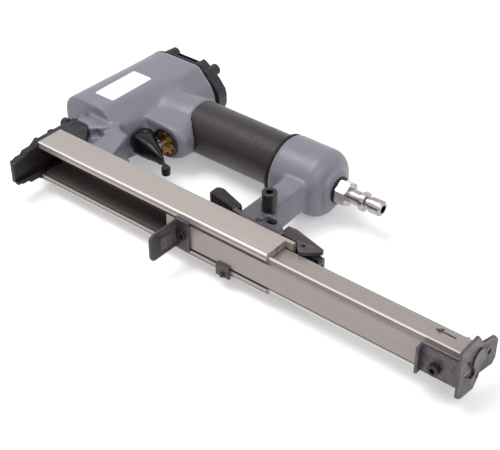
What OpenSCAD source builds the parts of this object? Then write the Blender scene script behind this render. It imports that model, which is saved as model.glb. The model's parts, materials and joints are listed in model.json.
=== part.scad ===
// Pneumatic fine-wire stapler, lying on its flank with its magazine slide drawn back.
// Inside the file X runs from the nose to the rear, from the magazine's front end.
// Y runs from the magazine's open side to the cylinder cap, and Z up from the middle plane.
// The last step moves the whole tool to its resting place on the plane Z = 0.

/* [Cylinder] */
// Distance of the cylinder and driver axis in front of the magazine
axis_front = 1.8; // [1.5:0.1:2.2]
// Bore of the cylinder sleeve
bore_d = 27; // [26:0.5:28]
// Wall of the cylinder sleeve
sleeve_wall = 1.3; // [1:0.1:1.5]
// Length of the cylinder sleeve
sleeve_len = 50; // [48:1:52]
// Stroke of the piston
stroke = 36; // [34:1:36]
// Thickness of the piston
piston_h = 11; // [10:0.5:12]
// Thickness of the rubber bumper
bumper_h = 9.8; // [8:0.2:10]

/* [Head] */
// Height of the head's lower face above the magazine's open side
head_y = 42; // [41:0.5:43]
// Height of the cap's joint face above the magazine's open side
rim_y = 121.4; // [119:0.5:124]
// Half width of the head between its two flat flanks
head_half = 22.5; // [22:0.5:24]
// Thickness of the cylinder cap
cap_h = 8; // [7:0.5:10]
// Thickness of the cap gasket
gasket_h = 0.8; // [0.5:0.1:1.2]
// Length of the blank name label
label_len = 36; // [20:1:40]
// Width of the blank name label
label_w = 16; // [10:1:18]

/* [Grip and rear] */
// Height of the grip axis above the magazine's open side
grip_y = 92.8; // [92:0.2:94]
// Outer diameter of the grip sleeve
grip_d = 34.4; // [33:0.2:36]
// Wall of the grip sleeve
grip_wall = 2.2; // [1.6:0.1:2.6]
// Start of the grip sleeve behind the magazine's front end
grip_x = 51; // [50:0.5:54]
// Length of the grip sleeve
grip_len = 69; // [66:1:70]
// Radius of the rear chamber
rear_r = 21.5; // [21.5:0.5:22.5]
// Length of the rear chamber
rear_len = 38; // [36:1:40]
// Distance of the rear web's bolt above the magazine's open side
bolt_y = 38; // [37:0.5:40]

/* [Air plug] */
// Width across the flats of the plug's hexagon
hex_af = 14; // [14:0.5:17]
// Diameter of the plug's thread
thread_d = 13; // [12:0.1:13.1]
// Diameter of the plug's nipple tip
tip_d = 9.6; // [9:0.1:10.4]
// Length of the plug's nipple tip
tip_len = 8; // [6:0.5:9]

/* [Magazine] */
// Length of the magazine channel's side walls
channel_len = 176.4; // [172:1:180]
// Width of the magazine channel
channel_w = 28; // [28:0.2:29]
// Height of the magazine channel
channel_h = 19.1; // [19:0.1:20]
// Opening between the channel's lips
lip_gap = 18.8; // [18.6:0.1:19.2]
// Width of the groove that guides the slide's flange
groove_w = 23.6; // [23.4:0.1:24.2]
// Sliding clearance of the magazine slide on each side
slide_gap = 0.4; // [0.3:0.1:0.5]
// Crown width of the staples
crown_w = 12.8; // [12.6:0.1:13]
// Length of the magazine slide
slide_len = 183; // [180:1:186]
// Distance by which the slide is drawn back at rest
drawn = 114; // [112:1:116]

/* [Trigger] */
// Trigger pivot behind the magazine's front end
trigger_x = 34.4; // [34:0.2:35]
// Trigger pivot above the magazine's open side
trigger_y = 57.4; // [57:0.1:58]
// Width of the trigger at its pivot
trigger_w = 13; // [12.6:0.2:13.4]
// Trigger valve axis behind the magazine's front end
valve_x = 45.6; // [45:0.2:46]
// Diameter of the trigger valve body
valve_d = 15.4; // [14.6:0.2:15.6]
// Travel of the valve stem
valve_travel = 3; // [2.4:0.1:3]

/* [Latch] */
// Latch pivot behind the chamber's front edge
latch_back = 28; // [26:1:30]
// Latch pivot above the magazine's open side
latch_y = 27; // [26.5:0.5:27.5]
// Width of the latch lever
latch_w = 9.2; // [8:0.2:9.4]

/* [Nose] */
// Length of the nose below the magazine's open side
nose_len = 19; // [17:0.5:21]
// Thickness of the driver blade
blade_t = 1.2; // [1:0.05:1.25]
// Thickness of the front plate of the nose
plate_t = 2.8; // [2.4:0.1:3.2]

/* [Hidden] */
$fn = 64;
// Shared fits: play of a running pin, gap of a fixed piece in its bore, gap between free bodies
run_gap = 0.05;
seat_gap = 0.02;
free_gap = 0.3;
eps = 0.01;
axis_x = -axis_front;
// Levels along the cylinder
bore_y = head_y + 4;
bumper_y = bore_y + 0.2;
sleeve_y = bumper_y + bumper_h;
sleeve_top = sleeve_y + sleeve_len;
sleeve_r = bore_d / 2 + sleeve_wall;
chamber_r = sleeve_r + 1.1;
ring_r = 0.8;
piston_y = sleeve_top - piston_h - 3;
blade_w = crown_w - 0.2;
blade_x = axis_x - blade_t / 2;
blade_tip = stroke - nose_len + 0.5;
cap_y = rim_y + gasket_h;
cap_top = cap_y + cap_h;
// Head outlines
head_front = 25;
head_rear = 38;
// Front and rear cap screws: place along and across, and height of the face under the head
cap_flange = 4;
cap_screw = [[-5, 18.2, cap_flange], [26.5, 14.8, cap_h]];
screw_head_r = 3.9;
front_web = 7.4;
wall_half = 11;
// Grip
core_r = grip_d / 2 - grip_wall - seat_gap;
passage_r = 9;
rear_x = grip_x + grip_len + 2;
rear_end = rear_x + rear_len;
latch_x = rear_x + latch_back;
ring_x = grip_x + grip_len;
web_half = 10;
web_front = rear_x + 14.5;
bolt_x = rear_x + 26.5;
bolt_r = 4.5;
// Air plug
hex_x = rear_end + 1;
hex_len = 7.5;
neck_len = 20;
plug_end = hex_x + hex_len + neck_len;
plug_bore_r = 2.6;
// Magazine
lip_y = 1.3;
lip_line = lip_gap / 2 + 2.2;
groove_top = 3.2;
web_t = 2.7;
web_end = channel_len + 5.4;
inner_top = channel_h - web_t;
slide_half = lip_gap / 2 - slide_gap;
flange_half = groove_w / 2 - 0.3;
slide_base = -0.2;
plate_half = slide_half - 1.35;
slide_top = inner_top - 0.4;
rail_half = crown_w / 2 - 1.2;
rail_wall = 1.5;
rail_top = 12.6;
trough_half = crown_w / 2 + 0.25;
rail_ahead = 12.5;
slide_end = drawn + slide_len;
bracket_t = 1.6;
closed_stop = web_end + 15.2;
stop_x = channel_len - 34;
stud_y = 23;
stud_r = 1.5;
stud_head_r = 2.6;
stud_len = 12;
catch_x = closed_stop - stud_len;
cheek_in = lip_gap / 2;
pad_half = 11;
rod_y = 8;
rod_r = 1.2;
pusher_x = drawn + 6;
pusher_len = 14;
anchor_x = slide_end - 9;
// Place along and across the magazine and shank radius of the channel's screws
channel_screw = [[30, 0, 2], [157, -6.9, 1.5], [157, 6.9, 1.5]];
// Nose
guide_t = 2.6;
slot_x = axis_x + blade_t / 2 + 0.1;
plate_x = -guide_t - plate_t;
clamp_t = 6;
nose_screw_y = 30;
nose_screw_z = 10;
// Trigger and its valve
stem_r = 2;
trigger_top = trigger_y - 2.2;
stem_y = trigger_top + 0.8;
valve_y = stem_y + valve_travel + 3.2;
boss_y = valve_y + 2;
valve_top = grip_y - grip_d / 2 - 0.4;
valve_floor = boss_y + 2.6;
pin_r = 1.5;
lug_half = 4;
// Resting place
half_h = max(head_half, rear_r);
wing_depth = 23;
tab_lean = 2;
tab_top = 29;
tab_out = slide_end + bracket_t + tab_lean;
low_y = slide_base - wing_depth;
high_y = cap_top + 5;
mid_x = (tab_out - head_front) / 2;
mid_y = (low_y + high_y) / 2;

// Points of an arc about (u, v)
function arc(u, v, r, from, to, n = 6) =
    [for (i = [0 : n]) [u + r * cos(from + (to - from) * i / n), v + r * sin(from + (to - from) * i / n)]];
// A half outline, listed front to rear on the upper side, closed by its mirror image
function both_sides(half) =
    concat(half, [for (i = [len(half) - 1 : -1 : 0]) [half[i][0], -half[i][1]]]);
// Outline of the head at one level: front radius, flank height, end of the flat flank, rear end
function head_outline(front, corner, flat_end, slope_x, slope_z, rear) = both_sides(concat(
    arc(-front + corner, head_half - corner, corner, 180, 90, 8),
    [[flat_end - 1.5, head_half], [flat_end + 1, head_half - 0.8]],
    [[slope_x, slope_z]],
    [[rear - 1.2, slope_z * 0.55], [rear, slope_z * 0.25]]));

// Extrusions along the three directions, each from its own drawing plane
module along_x(x, l) {
    translate([x, 0, 0]) rotate([90, 0, 90]) linear_extrude(l) children();
}
module along_y(y, l) {
    translate([0, y, 0]) rotate([-90, 0, 0]) linear_extrude(l) children();
}
module along_z(z, l) {
    translate([0, 0, z]) linear_extrude(l) children();
}
module rod_x(x, y, z, r, l) {
    translate([x, y, z]) rotate([0, 90, 0]) cylinder(r = r, h = l);
}
module rod_y(x, y, z, r, l) {
    translate([x, y, z]) rotate([-90, 0, 0]) cylinder(r = r, h = l);
}
module rod_z(x, y, z, r, l) {
    translate([x, y, z]) cylinder(r = r, h = l);
}
// Box from its low corner to its high corner
module block(a, b) {
    translate(a) cube([b[0] - a[0], b[1] - a[1], b[2] - a[2]]);
}
// Turned shape about the X axis from [x, radius] points
module turned_x(points) {
    rotate([0, 90, 0]) rotate_extrude() polygon([for (p = points) [p[1], p[0]]]);
}
module twice_z() {
    children();
    mirror([0, 0, 1]) children();
}
// Socket head screw along Z: head on the plane z, shank below it
module cap_screw(r, head_h, shank_r, shank_l) {
    difference() {
        union() {
            cylinder(r = r, h = head_h);
            translate([0, 0, -shank_l]) cylinder(r = shank_r, h = shank_l);
        }
        translate([0, 0, head_h * 0.45]) cylinder(r = r * 0.52, h = head_h, $fn = 6);
    }
}
module to_y() {
    rotate([-90, 0, 0]) children();
}
module to_front() {
    rotate([0, -90, 0]) children();
}
module to_low() {
    rotate([90, 0, 0]) children();
}

// Centre line of a spring along X: straight ends one wire wide, then its curls of eight points
function curls_along_x(l, r, wire_r, curls) = let (lead = 2 * wire_r, n = 8 * curls) concat([[0, r, 0]],
    [for (i = [0 : n]) [lead + (l - 2 * lead) * i / n, r * cos(45 * i), r * sin(45 * i)]], [[l, r, 0]]);
function unit(v) = v / norm(v);
// Least gap of the wire to itself, from its points
function least_gap(p, wire_r) = min([for (i = [0 : len(p) - 1], j = [i + 5 : 1 : len(p) - 1])
    norm(p[j] - p[i])]) - 2 * wire_r;
// One unbroken six-sided wire along the centre line
module spring_wire(l, r, wire_r, curls) {
    p = curls_along_x(l, r, wire_r, curls);
    last = len(p) - 1;
    rings = [for (i = [0 : last]) let (t = unit(p[min(i + 1, last)] - p[max(i - 1, 0)]),
        v = unit(cross(t, [0, p[i][1], p[i][2]])), u = cross(v, t))
        for (k = [0 : 5]) p[i] + wire_r * (cos(60 * k) * u + sin(60 * k) * v)];
    sides = [for (i = [0 : last - 1], k = [0 : 5]) let (a = 6 * i + k, b = 6 * i + (k + 1) % 6)
        each [[a, b, b + 6], [a, b + 6, a + 6]]];
    ends = [for (k = [1 : 4]) each [[0, k + 1, k], [6 * last, 6 * last + k, 6 * last + k + 1]]];
    polyhedron(rings, concat(sides, ends));
    echo(spring_gap = least_gap(p, wire_r));
}

// Cast housing: head, front block, trigger lug, grip core, rear chamber and web
module rim_outline() {
    polygon(head_outline(head_front, 22, 24, 34, 12, head_rear));
}
module head_shell() {
    hull() {
        along_y(head_y, 0.6) polygon(head_outline(20, 11.5, 12, 24, 13, 27));
        along_y(rim_y - 16, 0.6) rim_outline();
    }
    along_y(rim_y - 16, 16) rim_outline();
}
module head_to_grip() {
    hull() {
        rod_x(22, grip_y - 4, 0, 19.2, 1, $fn = 48);
        rod_x(grip_x - 1, grip_y, 0, grip_d / 2 + 1, 0.8, $fn = 48);
    }
}
module chin() {
    hull() {
        block([22, boss_y, -12.4], [28, boss_y + 8, 12.4]);
        rod_y(valve_x, boss_y, 0, 11.4, 4, $fn = 48);
        rod_y(valve_x + 4, boss_y + 3, 0, 11, 5, $fn = 32);
        rod_x(grip_x - 1, grip_y, 0, grip_d / 2 - 1, 0.8, $fn = 32);
    }
}
module front_block() {
    along_z(-15, 30) polygon([[0, 32.5], [9, 32.5], [13.4, 29.6], [20.5, 35.5], [26, head_y + 4],
        [-5, head_y + 4], [-5, head_y - 2], [0, 36]]);
    // Web down to the magazine and the walls that spread from it to the head
    along_z(-front_web, 2 * front_web) polygon([[0, 28], [24.5, channel_h], [40, channel_h],
        [30, head_y + 4], [0, head_y + 4]]);
    hull() {
        block([24.5, channel_h, -wall_half], [42, channel_h + 1, wall_half]);
        block([20, head_y + 1, -wall_half - 1.4], [34, head_y + 2, wall_half + 1.4]);
    }
}
module rear_chamber() {
    translate([0, grip_y - 2.8, 0]) turned_x(concat([[rear_x, 0], [rear_x, rear_r - 2]],
        arc(rear_x + 2, rear_r - 2, 2, 180, 90, 4), arc(rear_end - 12.4, rear_r - 9, 9, 90, 0, 8),
        [[rear_end - 3.8, 13], [rear_end - 3.8, 12.6], [rear_end - 1.2, 12.4], [rear_end - 0.7, 11.8],
        [rear_end - 0.7, 10], [rear_end, 9.8], [rear_end, 0]]));
}
module rear_web() {
    difference() {
        along_z(-web_half, 2 * web_half) polygon(concat(
            [[web_front, channel_h], [rear_end + 5.5, channel_h], [rear_end + 5.5, 28]],
            arc(rear_end + 10, 50, 20.5, 255, 180, 5),
            [[rear_end - 10.5, 74], [web_front - 3, 74], [web_front, 50]]));
        translate([latch_x, latch_y, 0]) along_z(-latch_w / 2 - free_gap, latch_w + 2 * free_gap)
            polygon([[-40, -27], [20, -27], [20, 9.5], [10, 9.8], [-10, 7.2], [-14, 11], [-40, 19]]);
        twice_z() block([latch_x + 1, latch_y + 1, latch_w / 2], [latch_x + 9.4, latch_y + 6, 13]);
    }
}
module housing() {
    color("slategray") difference() {
        union() {
            head_shell();
            head_to_grip();
            difference() {
                chin();
                rod_x(grip_x, grip_y, 0, grip_d / 2 + free_gap, 40);
            }
            front_block();
            block([trigger_x - 4, trigger_y, -lug_half], [trigger_x + 1, 70, lug_half]);
            rod_z(trigger_x, trigger_y, -lug_half, 4, 2 * lug_half);
            rod_x(grip_x - 2, grip_y, 0, core_r, rear_x - grip_x + 4);
            rear_chamber();
            rear_web();
        }
        // Cylinder, head valve chamber and O-ring grooves
        rod_y(axis_x, bore_y, 0, sleeve_r + seat_gap, sleeve_top - bore_y + eps);
        rod_y(axis_x, sleeve_top, 0, chamber_r, rim_y - sleeve_top + 1);
        for (y = [sleeve_y + 6, sleeve_top - 8])
            translate([axis_x, y, 0]) rotate([-90, 0, 0]) cylinder(r = sleeve_r + 1.9, h = 2.2 * ring_r);
        // Passage of the blade and the nose guide
        block([blade_x - 0.15, -1, -blade_w / 2 - 0.15], [blade_x + blade_t + 0.15, bore_y + 1, blade_w / 2 + 0.15]);
        // Air passage, threaded inlet and trigger valve bore
        rod_x(20, grip_y, 0, passage_r, rear_end - 34);
        rod_x(rear_end - 14.5, grip_y - 2.8, 0, thread_d / 2 + seat_gap, 20);
        rod_y(valve_x, boss_y - 1, 0, valve_d / 2 + seat_gap, valve_top - boss_y + 1);
        rod_y(valve_x, valve_top - 1, 0, 0.9, 14);
        // Room for the trigger about its lug
        difference() {
            union() {
                rod_z(trigger_x, trigger_y, -trigger_w / 2 - free_gap, 6.4, trigger_w + 2 * free_gap);
                block([trigger_x - 6.4, 40, -trigger_w / 2 - free_gap], [52, trigger_y, trigger_w / 2 + free_gap]);
            }
            block([trigger_x - 4, trigger_y, -lug_half], [trigger_x + 1, 70, lug_half]);
            rod_z(trigger_x, trigger_y, -lug_half, 4, 2 * lug_half);
        }
        rod_z(trigger_x, trigger_y, -20, pin_r + seat_gap, 40);
        // Screw holes of the cap, the bolt, the latch pin and the magazine's screws
        twice_z() for (p = cap_screw) rod_y(p[0], rim_y - 12, p[1], 2.1, 14);
        rod_z(bolt_x, bolt_y, -13, 3.02, 26);
        rod_z(latch_x, latch_y, -web_half - 1, pin_r + seat_gap, 2 * web_half + 2);
        for (p = channel_screw) rod_y(p[0], channel_h - 1, p[1], p[2] + seat_gap, 7.2);
        // Recesses of the front block
        twice_z() translate([17.6, 31.8, 10.6]) rotate([0, -90, 130]) cylinder(r = 2.3, h = 6, center = true);
        twice_z() block([-6, head_y - 3.4, 9], [3, head_y - 0.2, 16]);
    }
}

// Cap, gasket and what the cap holds
module cap_holes(r, from, l) {
    twice_z() for (p = cap_screw) rod_y(p[0], from, p[1], r, l);
}
module cylinder_cap() {
    rear = [[20.5, head_half], [23, head_half - 0.8], [34, 13], [head_rear + 0.8, 7.15], [head_rear + 2, 3.25]];
    color("dimgray") difference() {
        union() {
            along_y(cap_y, cap_flange) polygon(both_sides(concat(arc(-3, 0.5, 19, 180, 90, 8),
                [[0.5, 19.5], [1.5, head_half]], rear)));
            along_y(cap_y, cap_h) polygon(both_sides(concat(arc(-3, 0.5, 15.5, 180, 90, 8), [[19, 16]], rear)));
            twice_z() for (p = cap_screw) rod_y(p[0], cap_y, p[1], screw_head_r + 0.3, p[2]);
        }
        cap_holes(2.6, cap_y - 1, cap_h + 2);
        twice_z() rod_y(cap_screw[0][0], cap_y + cap_flange, cap_screw[0][1], screw_head_r + 0.3, cap_h);
        twice_z() block([2, cap_y + 1, 15], [19.5, cap_y + 3.2, 30]);
        rod_y(axis_x, cap_y - 1, 0, 12, 3);
    }
}
module exhaust_deflector() {
    color("black") twice_z() block([2.3, cap_y + 1, 15], [19.2, cap_y + 3.2, 19]);
}
module cap_gasket() {
    color("black") difference() {
        along_y(rim_y, gasket_h) rim_outline();
        rod_y(axis_x, rim_y - 1, 0, 14, 3);
        cap_holes(2.6, rim_y - 1, 3);
    }
}
module cap_screws() {
    color("black") twice_z() for (p = cap_screw)
        translate([p[0], cap_y + p[2], p[1]]) to_y() cap_screw(screw_head_r, 5, 2.05, p[2] + 9);
}
module name_label() {
    color("white") block([-4, 53, head_half], [-4 + label_w, 53 + label_len, head_half + 0.2]);
}

// Cylinder parts
module cylinder_sleeve() {
    color("silver") difference() {
        rod_y(axis_x, sleeve_y, 0, sleeve_r, sleeve_len);
        rod_y(axis_x, sleeve_y - 1, 0, bore_d / 2, sleeve_len + 2);
    }
}
module sleeve_rings() {
    color("black") for (y = [sleeve_y + 6, sleeve_top - 8]) translate([axis_x, y + 1.1 * ring_r, 0])
        rotate([-90, 0, 0]) rotate_extrude() translate([sleeve_r + ring_r + 0.03, 0]) circle(r = ring_r);
}
module piston() {
    color("lightgray") difference() {
        rod_y(axis_x, piston_y, 0, bore_d / 2 - 0.4, piston_h);
        translate([axis_x, piston_y + 5.5, 0]) rotate([-90, 0, 0]) difference() {
            cylinder(r = bore_d / 2 + 1, h = 2.2);
            translate([0, 0, -1]) cylinder(r = bore_d / 2 - 2, h = 5);
        }
        block([blade_x, piston_y - 1, -blade_w / 2], [blade_x + blade_t, piston_y + 4.5, blade_w / 2]);
        rod_y(axis_x, piston_y + piston_h - 2, 0, 9, 3);
    }
}
module piston_ring() {
    color("black") translate([axis_x, piston_y + 5.6, 0]) rotate([-90, 0, 0]) difference() {
        cylinder(r = bore_d / 2 - 0.06, h = 2);
        translate([0, 0, -1]) cylinder(r = bore_d / 2 - 1.98, h = 5);
    }
}
module driver_blade() {
    color("silver") block([blade_x, blade_tip, -blade_w / 2], [blade_x + blade_t, piston_y + 4.5, blade_w / 2]);
}
module bumper() {
    color("black") difference() {
        rod_y(axis_x, bore_y, 0, sleeve_r - 0.3, bumper_h + 0.2);
        block([blade_x - 0.3, bore_y - 1, -blade_w / 2 - 0.5],
            [blade_x + blade_t + 0.3, bore_y + bumper_h + 2, blade_w / 2 + 0.5]);
    }
}
module head_valve() {
    color("black") difference() {
        rod_y(axis_x, sleeve_top + 0.1, 0, chamber_r - 0.2, 5);
        rod_y(axis_x, sleeve_top - 1, 0, 6, 8);
        rod_y(axis_x, sleeve_top + 3.1, 0, 11, 8);
    }
}
module head_valve_spring() {
    color("silver") translate([axis_x, sleeve_top + 3.2, 0]) rotate([-90, 0, 0]) difference() {
        cylinder(r = 10.6, h = cap_y + 2 - sleeve_top - 3.3);
        translate([0, 0, -1]) cylinder(r = 9, h = 40);
    }
}

// Trigger group
module trigger_side() {
    difference() {
        union() {
            circle(r = 5.6);
            polygon(concat([[-5.6, 0]], arc(-1.4, -4.4, 4.2, 190, 262, 5), [[12.6, -9.7], [21.6, -11.4]],
                arc(22.5, -22, 10.6, 95, 60, 3), arc(32.6, -17, 2.9, -150, 90, 8),
                [[28.6, -13.4], [23.6, -9], [17.1, -4.7], [8.6, -0.4], [4, 3.9]]));
        }
        circle(r = pin_r + run_gap);
    }
}
// Narrowing width of the trigger, from its pivot to its tip
module trigger_taper() {
    rotate([90, 0, 0]) linear_extrude(80, center = true) polygon(both_sides(
        [[-8, trigger_w / 2], [1, trigger_w / 2], [12, 5.2], [23.6, 2.8], [36, 2.6]]));
}
module trigger() {
    color("black") difference() {
        translate([trigger_x, trigger_y, 0]) intersection() {
            linear_extrude(trigger_w, center = true) trigger_side();
            trigger_taper();
        }
        rod_z(trigger_x, trigger_y, -lug_half - free_gap, 6.2, 2 * (lug_half + free_gap));
        block([28, trigger_y - 3, -lug_half - free_gap], [trigger_x + 5, 80, lug_half + free_gap]);
        block([trigger_x + 5, trigger_top - 5, -2.6], [trigger_x + 9, 80, 2.6]);
        block([trigger_x + 8, trigger_top, -2.6], [valve_x + 4, 80, 2.6]);
    }
}
module trigger_pin() {
    color("silver") rod_z(trigger_x, trigger_y, -trigger_w / 2 - 0.2, pin_r, trigger_w + 0.4);
}
module trigger_spring() {
    color("silver") rod_y(trigger_x + 7, trigger_top - 4.9, 0, 1.4, valve_y - trigger_top + 4.9);
}
module valve_body() {
    color("goldenrod") difference() {
        rod_y(valve_x, valve_y, 0, valve_d / 2, valve_top - valve_y);
        rod_y(valve_x, valve_y - 1, 0, stem_r + run_gap, 40);
        rod_y(valve_x, valve_floor, 0, 4.2, 40);
        for (a = [22.5 : 45 : 337.5]) translate([valve_x, valve_y - 1, 0]) rotate([0, a, 0])
            translate([valve_d / 2 - 1.8, 0, -1.2]) cube([3, 2.8, 2.4]);
    }
}
module valve_collar() {
    color("silver") difference() {
        rod_y(valve_x, boss_y - 1.4, 0, valve_d / 2 + 2, 1.4);
        rod_y(valve_x, boss_y - 3, 0, valve_d / 2 + seat_gap, 5);
    }
}
module valve_stem() {
    color("silver") {
        rod_y(valve_x, stem_y, 0, stem_r, valve_floor + 1 - stem_y);
        rod_y(valve_x, valve_floor + 0.1, 0, 3.8, 2);
    }
}
module valve_spring() {
    color("silver") translate([valve_x, valve_floor + 2.2, 0]) rotate([-90, 0, 0]) difference() {
        cylinder(r = 3.6, h = valve_top - valve_floor - 2.2);
        translate([0, 0, -1]) cylinder(r = 2.8, h = 40);
    }
}

// Grip, air plug and bolt
module grip_sleeve() {
    color("dimgray") difference() {
        rod_x(grip_x, grip_y, 0, grip_d / 2, grip_len);
        rod_x(grip_x - 1, grip_y, 0, grip_d / 2 - grip_wall, grip_len + 2);
    }
}
module grip_end_ring() {
    color("black") difference() {
        rod_x(ring_x, grip_y - 2.8, 0, rear_r - 0.4, rear_x - ring_x);
        rod_x(ring_x - 1, grip_y, 0, grip_d / 2 - grip_wall, rear_x - ring_x + 2);
    }
}
module air_plug() {
    color("silver") translate([0, grip_y - 2.8, 0]) difference() {
        union() {
            rod_x(rear_end - 11, 0, 0, thread_d / 2, hex_x - rear_end + 11.2);
            intersection() {
                translate([hex_x, 0, 0]) rotate([0, 90, 0]) cylinder(d = hex_af / cos(30), h = hex_len, $fn = 6);
                turned_x([[hex_x, 0], [hex_x, hex_af / 2 + 0.3], [hex_x + 1, hex_af / 2 + 1.2],
                    [hex_x + hex_len - 1, hex_af / 2 + 1.2], [hex_x + hex_len, hex_af / 2 + 0.3],
                    [hex_x + hex_len, 0]]);
            }
            turned_x([[hex_x + hex_len - eps, 0], [hex_x + hex_len - eps, 4.4], [plug_end - 11.5, 4.4],
                [plug_end - 11, 5.9], [plug_end - 8.5, 5.9], [plug_end - 7.5, 3.7], [plug_end - 5.5, 3.7],
                [plug_end - 5, tip_d / 2], [plug_end + tip_len - 6, tip_d / 2],
                [plug_end + tip_len - 5, tip_d / 2 - 1], [plug_end + tip_len - 5, 0]]);
        }
        rod_x(0, 0, 0, plug_bore_r, 300);
    }
}
module plug_seal() {
    color("black") difference() {
        rod_x(rear_end, grip_y - 2.8, 0, 8.4, hex_x - rear_end);
        rod_x(rear_end - 1, grip_y - 2.8, 0, thread_d / 2 + seat_gap, 4);
    }
}
module rear_bolt() {
    color("black") translate([bolt_x, bolt_y, web_half]) cap_screw(bolt_r, 12, 3, 20);
}

// Nose
function nose_half(w) = [[w, head_y - 6.5], [w, 0], [w - 2, -3], [w - 2, -nose_len + 10],
    [w - 4, -nose_len + 8], [w - 4, -nose_len + 4], [w - 5, -nose_len + 2], [w - 5, -nose_len]];
module nose_outline(w, top) {
    intersection() {
        polygon(concat([for (p = nose_half(w)) [p[1], p[0]]],
            [for (i = [7 : -1 : 0]) [nose_half(w)[i][1], -nose_half(w)[i][0]]]));
        translate([-60, -40]) square([60 + top, 80]);
    }
}
module nose_base() {
    color("dimgray") difference() {
        along_z(-channel_w / 2, channel_w) polygon([[0, channel_h], [20.5, channel_h], [13, 29.3], [8.9, 32.2],
            [0, 32.2]]);
        along_z(-front_web - seat_gap, 2 * (front_web + seat_gap))
            polygon([[0, 27.98], [24.5, channel_h], [60, channel_h], [60, 60], [0, 60]]);
        for (z = [-nose_screw_z, nose_screw_z]) rod_x(-1, nose_screw_y, z, 1.57, 9.4);
    }
}
module nose_guide() {
    color("dimgray") difference() {
        along_x(-guide_t, guide_t) nose_outline(13, head_y - 6.5);
        block([-guide_t - 1, -60, -blade_w / 2 - 0.1], [slot_x, 60, blade_w / 2 + 0.1]);
        block([-guide_t - 1, -60, -blade_w / 2 - 0.1], [1, inner_top + 0.3, blade_w / 2 + 0.1]);
        for (z = [-nose_screw_z, nose_screw_z]) rod_x(-9, nose_screw_y, z, 1.6, 12);
    }
}
module nose_front_plate() {
    color("dimgray") difference() {
        along_x(plate_x, plate_t) nose_outline(12.4, head_y - 7.5);
        for (z = [-nose_screw_z, nose_screw_z]) rod_x(-9, nose_screw_y, z, 1.6, 12);
    }
}
module nose_clamp_block() {
    color("dimgray") difference() {
        along_z(-9, 18) polygon([[plate_x, 2.5], [plate_x - clamp_t + 1.5, 3.5], [plate_x - clamp_t, 6],
            [plate_x - clamp_t, 20], [plate_x - 2, 23.6], [plate_x, 23.6]]);
        twice_z() block([plate_x - 8, 8, 5.8], [plate_x - 2.6, 17, 10]);
    }
}
module nose_screws() {
    color("black") for (z = [-nose_screw_z, nose_screw_z])
        translate([plate_x, nose_screw_y, z]) to_front() cap_screw(3.2, 4, 1.55, plate_t + guide_t + 8);
}

// Fixed magazine channel
module channel_section() {
    half = channel_w / 2;
    polygon(concat(
        arc(0.8, half - 0.8, 0.8, 180, 90, 3), arc(channel_h - 0.8, half - 0.8, 0.8, 90, 0, 3),
        arc(channel_h - 0.8, -half + 0.8, 0.8, 0, -90, 3), arc(0.8, -half + 0.8, 0.8, -90, -180, 3),
        [[0, -lip_line - 0.7], [0.5, -lip_line - 0.7], [0.5, -lip_line], [0, -lip_line],
        [0, -lip_gap / 2], [lip_y, -lip_gap / 2], [lip_y, -groove_w / 2], [groove_top, -groove_w / 2],
        [groove_top, -lip_gap / 2], [inner_top, -lip_gap / 2], [inner_top, lip_gap / 2],
        [groove_top, lip_gap / 2], [groove_top, groove_w / 2], [lip_y, groove_w / 2],
        [lip_y, lip_gap / 2], [0, lip_gap / 2], [0, lip_line], [0.5, lip_line],
        [0.5, lip_line + 0.7], [0, lip_line + 0.7]]));
}
module magazine_channel() {
    color("rosybrown") difference() {
        along_x(0, web_end) channel_section();
        block([channel_len, -1, -20], [web_end + 1, inner_top, 20]);
        twice_z() rod_x(channel_len - 12, 10, 11.7, 1.7, 20);
        for (p = channel_screw) {
            rod_y(p[0], inner_top - 1, p[1], p[2] + seat_gap, 5);
            translate([p[0], inner_top, p[1]]) rotate([-90, 0, 0])
                cylinder(r1 = 1.6 * p[2] + seat_gap, r2 = p[2] + seat_gap, h = 1.6);
        }
        rod_y(stop_x + 5, -1, -12.6, 0.77, 5);
    }
}
module channel_screws() {
    color("silver") for (p = channel_screw) translate([p[0], inner_top, p[1]]) rotate([-90, 0, 0]) {
        cylinder(r1 = 1.6 * p[2], r2 = p[2], h = 1.6);
        cylinder(r = p[2], h = 8.4);
    }
}
module stop_block() {
    color("dimgray") difference() {
        along_x(stop_x, 9) polygon([[0, -15.2], [0, -lip_gap / 2], [slide_base - 0.4, -lip_gap / 2],
            [slide_base - 0.4, -6.5], [-1.4, -6.5], [-2.2, -7.5], [-2.2, -14.4], [-1.4, -15.2]]);
        rod_y(stop_x + 5, -8, -12.6, 0.77, 9);
    }
}
module stop_screw() {
    color("silver") translate([stop_x + 5, -2.2, -12.6]) to_low() cap_screw(1.6, 1.2, 0.75, 5.6);
}

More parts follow.
